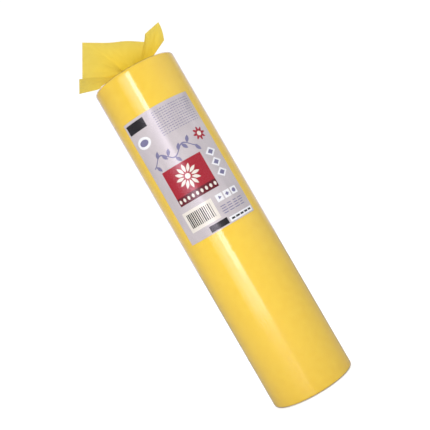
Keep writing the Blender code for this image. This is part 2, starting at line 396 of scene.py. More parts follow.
wound_web, given, result = new_tree(
    "GeometryNodeTree",
    "wound_web",
    {
        "Inner Radius": "Float",
        "Outer Radius": "Float",
        "Turns": "Float",
        "Points per Turn": "Int",
        "Width": "Float",
        "Thickness": "Float",
        "Foot": "Float",
        "Free End Angle": "Float",
        "Rim Round": "Float",
        "Edge Wander": "Float",
        "Cloth": "Material",
    },
    {"Geometry": "Geometry"},
)
half_thickness = calc(wound_web, "MULTIPLY", given["Thickness"], 0.5)
path = add_node(
    wound_web,
    "GeometryNodeCurveSpiral",
    {
        "Resolution": given["Points per Turn"],
        "Rotations": given["Turns"],
        "Start Radius": calc(wound_web, "ADD", given["Inner Radius"], half_thickness),
        "End Radius": calc(wound_web, "SUBTRACT", given["Outer Radius"], half_thickness),
        "Height": 0.0,
        "Reverse": True,
    },
)
marked = add_node(
    wound_web,
    "GeometryNodeStoreNamedAttribute",
    {
        "Geometry": path.outputs[0],
        "Name": "along",
        "Value": add_node(wound_web, "GeometryNodeSplineParameter").outputs["Length"],
    },
    data_type="FLOAT",
)
section = add_node(
    wound_web,
    "GeometryNodeCurvePrimitiveQuadrilateral",
    {"Width": given["Thickness"], "Height": given["Width"]},
)
swept = add_node(
    wound_web,
    "GeometryNodeCurveToMesh",
    {"Curve": marked.outputs[0], "Profile Curve": section.outputs[0], "Fill Caps": True},
)
point = add_node(wound_web, "GeometryNodeInputPosition").outputs[0]
axes = add_node(wound_web, "ShaderNodeSeparateXYZ", {0: point}).outputs
reach = axis_distance(wound_web, point)
end_side = calc(wound_web, "SIGN", axes["Z"])
depth = calc(wound_web, "SUBTRACT", given["Outer Radius"], reach)
run = calc(wound_web, "MAXIMUM", calc(wound_web, "SUBTRACT", given["Rim Round"], depth), 0.0)
square = calc(wound_web, "MULTIPLY", given["Rim Round"], given["Rim Round"])
run_square = calc(wound_web, "MULTIPLY", run, run)
rise = calc(wound_web, "SQRT", calc(wound_web, "SUBTRACT", square, run_square))
inset = calc(wound_web, "SUBTRACT", given["Rim Round"], rise)
drift_place = join_axes(
    wound_web,
    calc(wound_web, "MULTIPLY", reach, wander_changes),
    calc(wound_web, "MULTIPLY", end_side, wander_between_ends),
)
drift = noise(wound_web, drift_place, 1.0)
wander = calc(wound_web, "MULTIPLY", drift, given["Edge Wander"])
half_width = calc(wound_web, "MULTIPLY", given["Width"], 0.5)
half_kept = calc(wound_web, "SUBTRACT", calc(wound_web, "SUBTRACT", half_width, inset), wander)
middle = calc(wound_web, "ADD", given["Foot"], half_width)
height = calc(wound_web, "MULTIPLY_ADD", end_side, half_kept, middle)
raised = join_axes(wound_web, axes["X"], axes["Y"], height)
wound = add_node(
    wound_web, "GeometryNodeSetPosition", {"Geometry": swept.outputs[0], "Position": raised}
)
across = add_node(
    wound_web,
    "GeometryNodeStoreNamedAttribute",
    {"Geometry": wound.outputs[0], "Name": "across", "Value": axes["Z"]},
    data_type="FLOAT",
)
end_turn = join_axes(wound_web, z=given["Free End Angle"])
spun = add_node(
    wound_web, "GeometryNodeTransform", {"Geometry": across.outputs[0], "Rotation": end_turn}
)
end_tree(wound_web, spun.outputs[0], given["Cloth"], result)

web_mesh = run_tree(
    wound_web,
    {
        "Inner Radius": cloth_inner,
        "Outer Radius": cloth_outer,
        "Turns": float(cloth_turns),
        "Points per Turn": winding_points,
        "Width": cloth_width,
        "Thickness": cloth_thickness,
        "Foot": cloth_low.z,
        "Free End Angle": free_end_angle,
        "Rim Round": rim_round,
        "Edge Wander": edge_wander,
        "Cloth": yellow_cloth,
    },
)
cloth_winding = add_piece("cloth_winding", web_mesh, yellow_cloth)
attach(cloth_winding, "roll")
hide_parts("cloth_web")


# The label is a sheet of coated paper, laid on the outer turn before the film goes on. It is printed
# in flat colours: a bare dark plate, lines of marks, a flower panel, a leafy stem and a bar field.
label_low, label_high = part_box("paper_label")
label_length = label_high.z - label_low.z
label_width = 0.0885
label_angle = math.radians(-88.5)
label_thickness = 0.0001
label_play = 0.00004
label_seat = cloth_outer + label_play
label_face = label_seat + label_thickness
label_columns = 70
label_rows = 48
column_width = label_width / label_columns
label_fibre = 0.0007
label_fibre_share = 0.10
silk_share = 0.95
silk_lean = (0.0, 0.5, 0.0)
silk_stretch = (1.0, 1.0, 0.45)
label_dark = (0.44, 0.40, 0.42)
label_light = (0.68, 0.62, 0.64)

across_label = np.linspace(-0.5 * label_width, 0.5 * label_width, label_columns + 1)
up_label = np.linspace(label_low.z, label_high.z, label_rows + 1)
label_loops = []
for offset in across_label:
    angle = label_angle + offset / label_face
    front = round_axis(label_face, angle, up_label)
    back = round_axis(label_seat, angle, up_label)
    label_loops.append(np.concatenate([front, back[::-1]]))

label_paper, tree, shader = new_finish("label_paper", roughness=0.55)
shader.inputs["Specular IOR Level"].default_value = 0.2
place, fibre_tone, fibre_height = paper_grain(tree, label_fibre)
silk_place = add_node(
    tree, "ShaderNodeMapping", {"Vector": place, "Rotation": silk_lean, "Scale": silk_stretch}
)
silk = noise(tree, silk_place.outputs[0], 34.0, distortion=1.4)
silk_tone = calc(tree, "MULTIPLY", silk, silk_share)
label_tone = calc(tree, "MULTIPLY_ADD", fibre_tone, label_fibre_share, silk_tone)
tree.links.new(two_tone(tree, label_tone, label_dark, label_light), shader.inputs["Base Color"])
raise_bump(tree, shader, fibre_height, depth=0.00003, strength=0.25)

label_sheet = add_piece("label_sheet", loft(label_loops, closed=False), label_paper)
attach(label_sheet, "roll")
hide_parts("paper_label")

ink_thickness = 0.000018
ink_gap = 0.000010
ink_fibre = 0.0006
ink_thick_share = 0.88
ink_thin_share = 1.10
ink_thin_lift = 0.01


def ink_finish(name, colour):
    """Printing ink on coated paper, a little uneven where the paper's fibres show through."""
    finish, tree, shader = new_finish(name, roughness=0.6)
    shader.inputs["Specular IOR Level"].default_value = 0.12
    _, fibre_tone, fibre_height = paper_grain(tree, ink_fibre)
    dark = [ink_thick_share * value for value in colour]
    light = [min(1.0, ink_thin_share * value + ink_thin_lift) for value in colour]
    tree.links.new(two_tone(tree, fibre_tone, dark, light), shader.inputs["Base Color"])
    raise_bump(tree, shader, fibre_height, depth=0.00002, strength=0.2)
    return finish


inks = {
    "charcoal": ink_finish("charcoal_ink", (0.012, 0.011, 0.013)),
    "slate": ink_finish("slate_ink", (0.20, 0.19, 0.33)),
    "red": ink_finish("red_ink", (0.38, 0.014, 0.028)),
    "deep_red": ink_finish("deep_red_ink", (0.13, 0.006, 0.014)),
    "cream": ink_finish("cream_ink", (0.80, 0.75, 0.68)),
    "white": ink_finish("white_ink", (0.86, 0.86, 0.88)),
}

weld_distance = 1e-6
ink_sockets = {
    "Ink Thickness": "Float",
    "Radius": "Float",
    "Label Angle": "Float",
    "Label Foot": "Float",
    "Ink": "Material",
}
print_on_roll, given, result = new_tree(
    "GeometryNodeTree",
    "print_on_roll",
    {"Geometry": "Geometry", **ink_sockets},
    {"Geometry": "Geometry"},
)
thick = add_node(
    print_on_roll,
    "GeometryNodeExtrudeMesh",
    {"Mesh": given["Geometry"], "Offset Scale": given["Ink Thickness"], "Individual": False},
)
under = add_node(print_on_roll, "GeometryNodeFlipFaces", {"Mesh": given["Geometry"]})
both = add_node(print_on_roll, "GeometryNodeJoinGeometry")
for side in (thick, under):
    print_on_roll.links.new(side.outputs[0], both.inputs[0])
sealed = add_node(
    print_on_roll,
    "GeometryNodeMergeByDistance",
    {"Geometry": both.outputs[0], "Distance": weld_distance},
)
point = add_node(print_on_roll, "GeometryNodeInputPosition").outputs[0]
axes = add_node(print_on_roll, "ShaderNodeSeparateXYZ", {0: point}).outputs
offset_angle = calc(print_on_roll, "DIVIDE", axes["X"], given["Radius"])
turned = calc(print_on_roll, "ADD", given["Label Angle"], offset_angle)
out = calc(print_on_roll, "ADD", given["Radius"], axes["Z"])
bent = join_axes(
    print_on_roll,
    calc(print_on_roll, "MULTIPLY", out, calc(print_on_roll, "COSINE", turned)),
    calc(print_on_roll, "MULTIPLY", out, calc(print_on_roll, "SINE", turned)),
    calc(print_on_roll, "ADD", given["Label Foot"], axes["Y"]),
)
laid = add_node(
    print_on_roll, "GeometryNodeSetPosition", {"Geometry": sealed.outputs[0], "Position": bent}
)
end_tree(print_on_roll, laid.outputs[0], given["Ink"], result)


def print_values(ink, level):
    """Where a layer of ink lies on the label, as values for the printing trees."""
    return {
        "Ink Thickness": ink_thickness,
        "Radius": label_face + ink_gap + level * (ink_thickness + ink_gap),
        "Label Angle": label_angle,
        "Label Foot": label_low.z,
        "Ink": inks[ink],
    }


def ride_on_label(name, mesh, ink):
    """Adds a layer of ink to the scene as a piece of the roll."""
    piece = add_piece(name, mesh, inks[ink])
    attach(piece, "roll")


def box_shape(left, foot, right, top):
    """An upright box from its four sides."""
    return [(left, foot), (right, foot), (right, top), (left, top)]


def oval_shape(across, up, half_width, half_height, corners=40):
    """An oval about a middle, or with few corners a lozenge or a triangle."""
    bends = [turn * i / corners for i in range(corners)]
    return [(across + half_width * math.cos(b), up + half_height * math.sin(b)) for b in bends]


def leaf_shape(across, up, length, width, lean, steps=10):
    """A pointed leaf that starts at a point and leans by an angle in radians from the right."""
    shares = [i / steps for i in range(steps + 1)]
    edge = [(length * s, 0.5 * width * math.sin(math.pi * s)) for s in shares]
    edge += [(x, -y) for x, y in edge[-2:0:-1]]
    return [
        (across + x * math.cos(lean) - y * math.sin(lean), up + x * math.sin(lean) + y * math.cos(lean))
        for x, y in edge
    ]


def flower_shape(across, up, size, petals, notch=0.22, corners=96):
    """A flower in one wavy outline about a middle."""
    bends = [turn * i / corners for i in range(corners)]
    reach = [size * (1.0 - notch + notch * math.cos(petals * b)) for b in bends]
    return [(across + r * math.cos(b), up + r * math.sin(b)) for r, b in zip(reach, bends)]


stem_left, stem_right, stem_height = -0.0350, 0.0210, 0.0955
stem_swing, stem_wave, stem_width = 0.0046, 0.0280, 0.0015


def stem_at(across):
    """The height of the wavy stem at a place across the label."""
    return stem_height + stem_swing * math.sin(turn * across / stem_wave)


def stem_shapes(steps=56):
    """The stem as a row of short strips, end to end."""
    runs = [stem_left + (stem_right - stem_left) * i / steps for i in range(steps + 1)]
    upper = [(run, stem_at(run) + 0.5 * stem_width) for run in runs]
    lower = [(run, stem_at(run) - 0.5 * stem_width) for run in runs]
    return [[lower[i], lower[i + 1], upper[i + 1], upper[i]] for i in range(steps)]


# Boxes are given as left, foot, right and top, and ovals by half their width and height. All places are
# in metres from the middle of the label's lower edge.
head_plate = (-0.0415, 0.1345, -0.0165, 0.1455)
foot_plate = (-0.0135, 0.0014, 0.0085, 0.0085)
foot_strip = (0.0105, 0.0014, 0.0425, 0.0070)
bar_field = (-0.0340, 0.0110, 0.0035, 0.0345)
badge_across, badge_up = -0.0300, 0.1205
badge_size, badge_core_size = (0.0090, 0.0066), (0.0058, 0.0036)
rosette_across, rosette_up = 0.0300, 0.1010
rosette_size, rosette_petals, rosette_eye = 0.0078, 8, 0.0026
panel_left, panel_foot, panel_right, panel_top = -0.0300, 0.0415, 0.0190, 0.0830
band_top = 0.0505
bloom_across, bloom_up = -0.0055, 0.0668
bloom_petals, bloom_hub, bloom_eye = 12, 0.0042, 0.0030
petal_length, petal_width = 0.0098, 0.0036
bead_count, bead_size, bead_corners = 9, (0.0015, 0.0022), 20
leaf_count, leaf_length, leaf_width = 9, 0.0088, 0.0040
leaf_leans = (math.radians(-58.0), math.radians(62.0))
lozenge_count, lozenge_across, lozenge_foot, lozenge_step = 3, 0.0310, 0.0530, 0.0125
lozenge_size, lozenge_core_size = (0.0072, 0.0056), (0.0040, 0.0031)
tile_left, tile_foot, tile_size, tile_step = 0.0085, 0.0262, 0.0082, 0.0098
tile_mark_size, tile_mark_corners = 0.0024, (3, 4, 24)

shapes = {(ink, level): [] for ink in inks for level in range(3)}
shapes["charcoal", 0] = [box_shape(*head_plate), box_shape(*foot_plate)]
shapes["white", 0] = [oval_shape(badge_across, badge_up, *badge_size), box_shape(*foot_strip)]
shapes["slate", 1] = [oval_shape(badge_across, badge_up, *badge_core_size)]
shapes["red", 0] = [
    box_shape(panel_left, panel_foot, panel_right, panel_top),
    flower_shape(rosette_across, rosette_up, rosette_size, rosette_petals),
]
shapes["cream", 1] = [oval_shape(rosette_across, rosette_up, rosette_eye, rosette_eye)]
shapes["deep_red", 1] = [box_shape(panel_left, panel_foot, panel_right, band_top)]
for petal in range(bloom_petals):
    lean = turn * petal / bloom_petals
    across = bloom_across + bloom_hub * math.cos(lean)
    up = bloom_up + bloom_hub * math.sin(lean)
    shapes["cream", 1].append(leaf_shape(across, up, petal_length, petal_width, lean))
shapes["cream", 1].append(oval_shape(bloom_across, bloom_up, bloom_eye, bloom_eye))
for bead in range(bead_count):
    across = panel_left + (bead + 0.5) / bead_count * (panel_right - panel_left)
    up = 0.5 * (panel_foot + band_top)
    shapes["cream", 2].append(oval_shape(across, up, *bead_size, bead_corners))
shapes["slate", 0] = stem_shapes()
for leaf in range(leaf_count):
    across = stem_left + (leaf + 0.5) * (stem_right - stem_left) / leaf_count
    lean = leaf_leans[leaf % 2]
    shapes["slate", 1].append(leaf_shape(across, stem_at(across), leaf_length, leaf_width, lean))
for lozenge in range(lozenge_count):
    up = lozenge_foot + lozenge_step * lozenge
    shapes["white", 0].append(oval_shape(lozenge_across, up, *lozenge_size, corners=4))
    shapes["slate", 1].append(oval_shape(lozenge_across, up, *lozenge_core_size, corners=4))
shapes["cream", 0] = [box_shape(*bar_field)]
for tile, corners in enumerate(tile_mark_corners):
    left = tile_left + tile * tile_step
    shapes["white", 0].append(box_shape(left, tile_foot, left + tile_size, tile_foot + tile_size))
    middle = (left + 0.5 * tile_size, tile_foot + 0.5 * tile_size)
    shapes["slate", 1].append(oval_shape(*middle, tile_mark_size, tile_mark_size, corners))

for (ink, level), outlines in shapes.items():
    if not outlines:
        continue
    shape = bmesh.new()
    for outline in outlines:
        shape.faces.new([shape.verts.new((across, up, 0.0)) for across, up in outline])
    bmesh.ops.remove_doubles(shape, verts=shape.verts, dist=weld_distance)
    bmesh.ops.triangulate(shape, faces=shape.faces)
    for column in range(1, label_columns):
        bmesh.ops.bisect_plane(
            shape,
            geom=shape.verts[:] + shape.edges[:] + shape.faces[:],
            plane_co=(column * column_width - 0.5 * label_width, 0.0, 0.0),
            plane_no=(1.0, 0.0, 0.0),
        )
    bmesh.ops.recalc_face_normals(shape, faces=shape.faces)
    for face in shape.faces:
        if face.normal.z < 0.0:
            face.normal_flip()
    flat = bpy.data.meshes.new("flat")
    shape.to_mesh(flat)
    shape.free()
    ride_on_label(f"print_{ink}_{level}", run_tree(print_on_roll, print_values(ink, level), flat), ink)

printed_marks, given, result = new_tree(
    "GeometryNodeTree",
    "printed_marks",
    {
        "Columns": "Int",
        "Rows": "Int",
        "Column Pitch": "Float",
        "Row Pitch": "Float",
        "Mark Height": "Float",
        "Least Width": "Float",
        "Most Width": "Float",
        "Middle": "Vector",
        "Seed": "Int",
        **ink_sockets,
    },
    {"Geometry": "Geometry"},
)
spans = []
for count, pitch in (("Columns", "Column Pitch"), ("Rows", "Row Pitch")):
    gaps = calc(printed_marks, "SUBTRACT", given[count], 1.0)
    spans.append(calc(printed_marks, "MULTIPLY", gaps, given[pitch]))
spots = add_node(
    printed_marks,
    "GeometryNodeMeshGrid",
    {"Size X": spans[0], "Size Y": spans[1], "Vertices X": given["Columns"], "Vertices Y": given["Rows"]},
)
placed = add_node(
    printed_marks, "GeometryNodeTransform", {"Geometry": spots.outputs[0], "Translation": given["Middle"]}
)
mark = add_node(
    printed_marks,
    "GeometryNodeMeshGrid",
    {"Size X": 1.0, "Size Y": 1.0, "Vertices X": 6, "Vertices Y": 2},
)
width = add_node(
    printed_marks,
    "FunctionNodeRandomValue",
    {2: given["Least Width"], 3: given["Most Width"], "Seed": given["Seed"]},
    data_type="FLOAT",
)
size = join_axes(printed_marks, width.outputs[1], given["Mark Height"], 1.0)
marks = add_node(
    printed_marks,
    "GeometryNodeInstanceOnPoints",
    {"Points": placed.outputs[0], "Instance": mark.outputs[0], "Scale": size},
)
flat_marks = add_node(printed_marks, "GeometryNodeRealizeInstances", {"Geometry": marks.outputs[0]})
ink_values = {name: given[name] for name in ink_sockets}
printed = add_node(
    printed_marks,
    "GeometryNodeGroup",
    {"Geometry": flat_marks.outputs[0], **ink_values},
    node_tree=print_on_roll,
)
end_tree(printed_marks, printed.outputs[0], given["Ink"], result)

mark_seed = 5
for name, ink, level, (columns, rows), (pitch, row_pitch), height, (least, most), (across, up) in (
    ("print_lines", "slate", 0, (14, 11), (0.0034, 0.0027), 0.0007, (0.0014, 0.0030), (0.0170, 0.1300)),
    ("print_notes", "slate", 0, (4, 4), (0.0075, 0.0027), 0.0009, (0.0040, 0.0070), (0.0225, 0.0170)),
    ("print_foot", "charcoal", 1, (5, 1), (0.0058, 0.0), 0.0020, (0.0030, 0.0050), (0.0265, 0.0042)),
    ("print_bars", "charcoal", 1, (14, 1), (0.00225, 0.0), 0.0160, (0.0004, 0.0017), (-0.0152, 0.0230)),
):
    values = print_values(ink, level)
    values["Columns"] = columns
    values["Rows"] = rows
    values["Column Pitch"] = pitch
    values["Row Pitch"] = row_pitch
    values["Mark Height"] = height
    values["Least Width"] = least
    values["Most Width"] = most
    values["Middle"] = (across, up, 0.0)
    values["Seed"] = mark_seed
    ride_on_label(name, run_tree(printed_marks, values), ink)


# The film is one sleeve of clear shrink film, drawn tight by heat over the roll, the label and both
# rims. It steps down past the cloth's free end, and where it has shrunk back round the middle of each
# end it is gathered in small radial folds.
film_wall = 0.00005
film_corner = 0.0036
film_opening = 0.0285
film_pucker = 0.0009
film_puckers = 11
film_fold = 0.0004
film_folds = 34
fold_fade = 1.5
lap_step = 0.00042
lap_ease = math.radians(1.8)
lap_return = math.radians(75.0)
film_steps = 408
collar_steps = 14
corner_steps = 8
wall_steps = 36
film_index = 1.75
film_shine = (0.74, 0.68, 0.84, 1.0)
film_roughness = 0.14
film_roughness_on_label = 0.27
label_dulling = 0.30
draw_share = 0.25
draw_stretch = (1.0, 1.0, 0.08)

film_angles = turn * np.arange(film_steps) / film_steps
opening = film_opening + film_pucker * np.sin(film_puckers * film_angles)

# The radial folds, uneven in spacing and in height
fold_drift = 1.6 * np.sin(3.0 * film_angles) + 0.9 * np.sin(7.0 * film_angles)
fold_wave = np.sin(film_folds * film_angles + fold_drift)
fold_wave *= 0.7 + 0.3 * np.sin(5.0 * film_angles + 1.0)

# The step down past the cloth's free end, which is taken up again further round
past_end = (film_angles - free_end_angle) % turn
lap = lap_step * np.clip(past_end / lap_ease, 0.0, 1.0) * np.clip(1.0 - past_end / lap_return, 0.0, 1.0)
film_wall_radius = film_radius - lap


def film_face(offset):
    """One face of the sleeve, from the lower opening up to the upper one, for every angle.

    The roll stands on its lower end, so the folds there only go up into it.
    """
    corner = film_corner - offset
    middle = film_wall_radius - film_corner
    collar = np.linspace(0.0, 1.0, collar_steps, endpoint=False)
    bends = np.linspace(0.0, 0.5 * math.pi, corner_steps + 1)
    heights = np.linspace(film_low.z + film_corner, film_high.z - film_corner, wall_steps + 1)[1:-1]
    columns = []
    for share in collar:
        radius = opening + (middle - opening) * share
        fold = film_fold * (0.5 + 0.5 * fold_wave) * (1.0 - share) ** fold_fade
        columns.append(round_axis(radius, film_angles, film_low.z + offset + fold))
    for bend in bends:
        radius = middle + corner * math.sin(bend)
        columns.append(round_axis(radius, film_angles, film_low.z + film_corner - corner * math.cos(bend)))
    for height in heights:
        columns.append(round_axis(film_wall_radius - offset, film_angles, height))
    for bend in bends:
        radius = middle + corner * math.cos(bend)
        columns.append(round_axis(radius, film_angles, film_high.z - film_corner + corner * math.sin(bend)))
    for share in collar[::-1]:
        radius = opening + (middle - opening) * share
        fold = film_fold * fold_wave * (1.0 - share) ** fold_fade
        columns.append(round_axis(radius, film_angles, film_high.z - offset + fold))
    return np.stack(columns, axis=1)


film_loops = np.concatenate([film_face(0.0), film_face(film_wall)[:, ::-1]], axis=1)

clear_film = bpy.data.materials.new("clear_film")
clear_film.use_nodes = True
tree = clear_film.node_tree
tree.nodes.clear()
place = add_node(tree, "ShaderNodeTexCoord").outputs["Object"]
drawn = add_node(tree, "ShaderNodeMapping", {"Vector": place, "Scale": draw_stretch})
tension = noise(tree, drawn.outputs[0], 260.0, detail=3.0)
ripple = noise(tree, place, 70.0)
slack = calc(tree, "MULTIPLY_ADD", tension, draw_share, ripple)
bump = add_node(tree, "ShaderNodeBump", {"Height": slack, "Distance": 0.0004, "Strength": 0.05})
axes = add_node(tree, "ShaderNodeSeparateXYZ", {0: place}).outputs
around = calc(tree, "ARCTAN2", axes["Y"], axes["X"])
beside_label = calc(tree, "COMPARE", around, label_angle, 0.5 * label_width / label_face)
label_middle = 0.5 * (label_low.z + label_high.z)
level_with_label = calc(tree, "COMPARE", axes["Z"], label_middle, 0.5 * label_length)
on_label = calc(tree, "MULTIPLY", beside_label, level_with_label)
mirror = add_node(tree, "ShaderNodeFresnel", {"IOR": film_index, "Normal": bump.outputs[0]})
front = calc(tree, "SUBTRACT", 1.0, add_node(tree, "ShaderNodeNewGeometry").outputs["Backfacing"])
shine = calc(tree, "MULTIPLY", front, calc(tree, "MULTIPLY_ADD", on_label, -label_dulling, 1.0))
roughening = film_roughness_on_label - film_roughness
roughness = calc(tree, "MULTIPLY_ADD", on_label, roughening, film_roughness)
gloss = add_node(
    tree,
    "ShaderNodeBsdfGlossy",
    {"Color": film_shine, "Roughness": roughness, "Normal": bump.outputs[0]},
)
see_through = add_node(tree, "ShaderNodeBsdfTransparent")
film_mix = add_node(
    tree,
    "ShaderNodeMixShader",
    {0: calc(tree, "MULTIPLY", mirror.outputs[0], shine), 1: see_through.outputs[0], 2: gloss.outputs[0]},
)
add_node(tree, "ShaderNodeOutputMaterial", {"Surface": film_mix.outputs[0]})

film_wrap = add_piece("film_wrap", loft(film_loops, closed=True), clear_film)
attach(film_wrap, "roll")
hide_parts("film_sleeve")


# The sample is a loose cut of the same cloth, but its colours are painted paler and lighter than the
# roll's, for the light that falls on it and shines through it. Its lower edge is pinched together and
# stuffed into the mouth of the core, and its free edge fans out over the end of the roll like a flag.
sample_thickness = 0.00025
roll_top = film_high.z
tail_play = 0.0008
tail_radius = bore_radius - tail_play
tail_depth = 0.050
tail_side_share = 0.45
tail_waves = 3
tail_pleat = 0.0085
tail_taper = 0.85
pleat_fade = 5
small_waves = 13
small_pleat = 0.0009
small_pleat_fade = 10
tail_direction = math.radians(36.0)
mouth_height = 0.0008
rib_pitch = 0.0009
tail_levels = 16
fan_levels = 46
edge_softness = 0.007
shoulder_softness = 0.018
softening_points = 15
wing_ripples = 2.5
crease_count = 16
crease_depth = 0.0010
crease_breadths = (0.012, 0.032)
crease_peaks = (0.25, 0.80)
crease_lean = 0.05
crease_spread = 0.30
# The sample's two tones: the roll's cloth painted paler and lighter, for the light that falls on it and
# shines through it
sample_painted_lit_dark = (0.84, 0.71, 0.185)
sample_painted_lit_light = (0.92, 0.81, 0.265)
# The tint of a painted glow: a richer yellow for light bouncing between the gathered layers near the mouth
sample_painted_glow_tint = (1.09, 1.06, 0.70, 1.0)
sample_light_through = 0.62

# How far the front flap sinks over the rim of the roll, by its distance from the axis, and for how large
# a share of the free edge
drape_radii = (0.042, 0.046, 0.0475, 0.049, 0.051, 0.0545, 0.078)
drape_drops = (0.0, 0.0006, 0.0011, 0.0021, 0.0028, 0.0028, 0.0)
drape_reach = 0.05

# The fan's key ribs, from the front flap round to the right-hand wing: the rib's end on the free edge,
# how far out and how far forward along the rib its shoulder lies, the shoulder's height, the ripples
# that follow, and whether the cloth is creased along the rib, only cut to a corner at its end, or soft
fan = (
    ((-0.0601, -0.050, 0.0009), (0.50, 0.50), 0.0010, 0.0000, "crease"),
    ((-0.0539, -0.024, 0.0201), (0.45, 0.75), 0.0105, 0.0000, "crease"),
    ((-0.0512, -0.021, 0.0190), (0.40, 0.95), 0.0105, 0.0000, "crease"),
    ((-0.0313, -0.017, 0.0549), (0.40, 1.04), 0.0230, 0.0000, "corner"),
    ((-0.0061, -0.016, 0.0401), (0.40, 1.00), 0.0185, 0.0000, "soft"),
    ((0.0117, -0.014, 0.0331), (0.40, 1.00), 0.0160, 0.0000, "soft"),
    ((0.0282, -0.011, 0.0228), (0.50, 0.90), 0.0125, 0.0000, "crease"),
    ((0.0336, -0.009, 0.0306), (0.72, 0.80), 0.0125, 0.0002, "corner"),
    ((0.0528, -0.006, 0.0352), (0.65, 0.65), 0.0130, 0.0000, "corner"),
    ((0.0525, -0.005, 0.0257), (0.55, 0.55), 0.0110, 0.0000, "soft"),
    ((0.0483, -0.005, 0.0147), (0.45, 0.45), 0.0080, 0.0000, "crease"),
)
key_ends = np.array([key[0] for key in fan])
key_values = np.array([(*key[0], *key[1], key[2]) for key in fan])
key_ripple = np.array([key[3] for key in fan])
key_runs = np.concatenate([[0.0], np.cumsum(np.linalg.norm(np.diff(key_ends, axis=0), axis=1))])
corner_runs = key_runs[[key[4] != "soft" for key in fan]]
crease_runs = key_runs[[key[4] == "crease" for key in fan]]

rib_runs = []
for start, end in zip(key_runs, key_runs[1:]):
    rib_runs.append(np.linspace(start, end, math.ceil((end - start) / rib_pitch), endpoint=False))
runs = np.concatenate([*rib_runs, key_runs[-1:]])
rib_count = len(runs)


def ease_keys(stop_runs, softness):
    """The key ribs' values at every rib, softened along the free edge but for the stops."""
    to_stop = np.abs(runs[:, None] - stop_runs).min(axis=1)
    reach = np.minimum(softness, to_stop)
    nearby = runs[:, None] + reach[:, None] * np.linspace(-1.0, 1.0, softening_points)
    columns = [np.interp(nearby, key_runs, column).mean(axis=1) for column in key_values.T]
    return np.stack(columns, axis=1)


edge_ribs = ease_keys(corner_runs, edge_softness)
shoulder_ribs = ease_keys(crease_runs, shoulder_softness)
segment = np.clip(np.searchsorted(key_runs, runs, side="right") - 1, 0, len(fan) - 2)
segment_share = (runs - key_runs[segment]) / np.diff(key_runs)[segment]
segment_along = np.diff(key_ends, axis=0)[segment]
segment_side = np.stack([-segment_along[:, 1], segment_along[:, 0], np.zeros(rib_count)], axis=1)
segment_side /= np.linalg.norm(segment_side, axis=1, keepdims=True)
swing = key_ripple[segment] * np.sin(turn * wing_ripples * segment_share)
ends = edge_ribs[:, :3] + swing[:, None] * segment_side

shares = runs / key_runs[-1]
reaches = 2.0 * shares - 1.0
forward = np.array((math.cos(tail_direction), math.sin(tail_direction), 0.0))
sideways = np.array((-forward[1], forward[0], 0.0))
room = np.sqrt(1.0 - (tail_taper * reaches) ** 2)
pleats = (tail_pleat * room * np.sin(turn * tail_waves * shares))[:, None] * sideways
small_pleats = (small_pleat * room * np.sin(turn * small_waves * shares))[:, None] * sideways
stems = tail_radius * reaches[:, None] * forward
mouths = stems + np.array((0.0, 0.0, mouth_height))
shoulders = stems.copy()
shoulders[:, :2] += shoulder_ribs[:, 3:5] * (shoulder_ribs[:, :2] - stems[:, :2])
shoulders[:, 2] = shoulder_ribs[:, 5]
depths = tail_depth * (tail_side_share + (1.0 - tail_side_share) * np.sin(math.pi * shares))

levels = []
for level in np.linspace(1.0, 0.0, tail_levels, endpoint=False):
    levels.append(mouths + pleats + small_pleats - np.outer(depths * level, (0.0, 0.0, 1.0)))
for up in np.linspace(0.0, 1.0, fan_levels):
    rib = (1.0 - up) ** 2 * mouths + 2.0 * up * (1.0 - up) * shoulders + up * up * ends
    levels.append(rib + (1.0 - up) ** pleat_fade * pleats + (1.0 - up) ** small_pleat_fade * small_pleats)
sheet_points = np.stack(levels, axis=1)


def sheet_normals(points):
    """The sheet's direction outwards at every point."""
    across = np.gradient(points, axis=0)
    up = np.gradient(points, axis=1)
    normal = np.cross(across, up)
    return normal / np.linalg.norm(normal, axis=2, keepdims=True)


level_share = np.concatenate([np.zeros(tail_levels), np.linspace(0.0, 1.0, fan_levels)])
creasing = random.Random(11)
creases = np.zeros(sheet_points.shape[:2])
for _ in range(crease_count):
    centre = creasing.random()
    breadth = creasing.uniform(*crease_breadths)
    size = crease_depth * (creasing.random() - 0.5)
    peak = creasing.uniform(*crease_peaks)
    lean = crease_lean * (creasing.random() - 0.5)
    off_centre = (shares[:, None] - centre - lean * level_share) / breadth
    off_peak = (level_share - peak) / crease_spread
    creases += size * np.exp(-off_centre**2) * np.exp(-off_peak**2)
creases *= np.sin(math.pi * level_share)
sheet_points = sheet_points + creases[:, :, None] * sheet_normals(sheet_points)
from_axis = np.linalg.norm(sheet_points[:, :, :2], axis=2)
drape = np.interp(from_axis, drape_radii, drape_drops) * np.exp(-((shares / drape_reach) ** 2))[:, None]
sheet_points[:, :, 2] += roll_top - drape

half_wall = 0.5 * sample_thickness * sheet_normals(sheet_points)
sample_loops = np.concatenate([sheet_points + half_wall, (sheet_points - half_wall)[:, ::-1]], axis=1)
sample_mesh = loft(sample_loops, closed=False)
rib_lengths = np.cumsum(np.linalg.norm(np.diff(sheet_points, axis=1), axis=2), axis=1)
rib_lengths = np.concatenate([np.zeros((rib_count, 1)), rib_lengths], axis=1)
# How much painted glow each point takes, from 1 at the mouth down to 0 at the free edge
painted_glow_shares = np.tile(1.0 - level_share**2, (rib_count, 1))
for name, values in (
    ("along", np.broadcast_to(runs[:, None], painted_glow_shares.shape)),
    ("across", rib_lengths),
    ("painted_glow_share", painted_glow_shares),
):
    both_faces = np.concatenate([values, values[:, ::-1]], axis=1)
    attribute = sample_mesh.attributes.new(name, "FLOAT", "POINT")
    attribute.data.foreach_set("value", both_faces.ravel().astype(np.float32))
